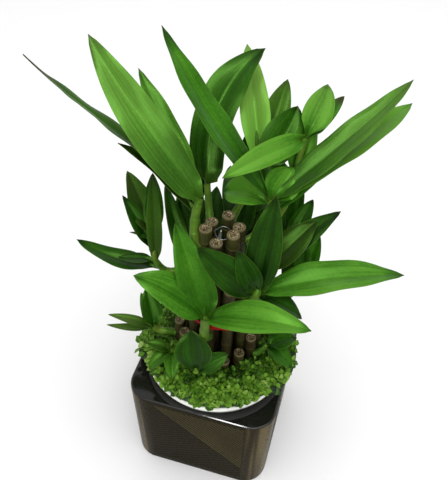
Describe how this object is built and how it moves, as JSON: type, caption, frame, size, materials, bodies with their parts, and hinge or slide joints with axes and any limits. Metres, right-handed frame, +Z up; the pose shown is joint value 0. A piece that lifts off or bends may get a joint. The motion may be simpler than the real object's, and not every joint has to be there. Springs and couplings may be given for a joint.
{
  "type": "potted lucky bamboo",
  "caption": "Tiered lucky bamboo in a square pot: cut canes in rings, tied with ribbon, with strap-leaved shoots standing out and low green ground cover round their feet.",
  "frame": {"origin": "middle of the pot's flat underside, on the surface that it stands on", "axes": "+Z up along the canes, -Y towards the front of the pot, +X to the right of someone facing the front"},
  "size_m": [0.3256, 0.2282, 0.4436],
  "materials": {
    "pot": "gloss",
    "liner": "satin",
    "soil": "rough",
    "ground_cover": "satin",
    "cane": "satin",
    "leaf": "satin",
    "ribbon": "satin",
    "wire": "satin"
  },
  "bodies": {
    "root": {"outer_pot": "pot", "pot_liner": "liner", "potting_soil": "soil", "ground_cover": "ground_cover", "cane_low_01": "cane", "cane_low_02": "cane", "cane_low_03": "cane", "cane_low_04": "cane", "cane_low_05": "cane", "cane_low_06": "cane", "cane_low_07": "cane", "cane_low_08": "cane", "cane_low_09": "cane", "cane_low_10": "cane", "cane_low_11": "cane", "cane_low_12": "cane", "cane_low_13": "cane", "cane_low_14": "cane", "cane_low_15": "cane", "cane_low_16": "cane", "cane_mid_01": "cane", "cane_mid_02": "cane", "cane_mid_03": "cane", "cane_mid_04": "cane", "cane_mid_05": "cane", "cane_mid_06": "cane", "cane_mid_07": "cane", "cane_mid_08": "cane", "cane_mid_09": "cane", "cane_mid_10": "cane", "cane_top_01": "cane", "cane_top_02": "cane", "cane_top_03": "cane", "cane_top_04": "cane", "cane_top_05": "cane", "cane_top_06": "cane", "ribbon_tie_mid": "ribbon", "ribbon_tie_top": "ribbon", "wire_hoop": "wire", "shoot_low_back": "leaf", "shoot_low_back_left": "leaf", "shoot_low_back_right": "leaf", "shoot_low_front": "leaf", "shoot_low_front_left": "leaf", "shoot_low_left": "leaf", "shoot_low_right": "leaf", "shoot_mid_back": "leaf", "shoot_mid_back_left": "leaf", "shoot_mid_back_right": "leaf", "shoot_mid_front": "leaf", "shoot_mid_left": "leaf", "shoot_mid_right": "leaf", "shoot_top_back": "leaf", "shoot_top_back_left": "leaf", "shoot_top_left": "leaf", "shoot_top_right": "leaf"}
  },
  "joints": []
}
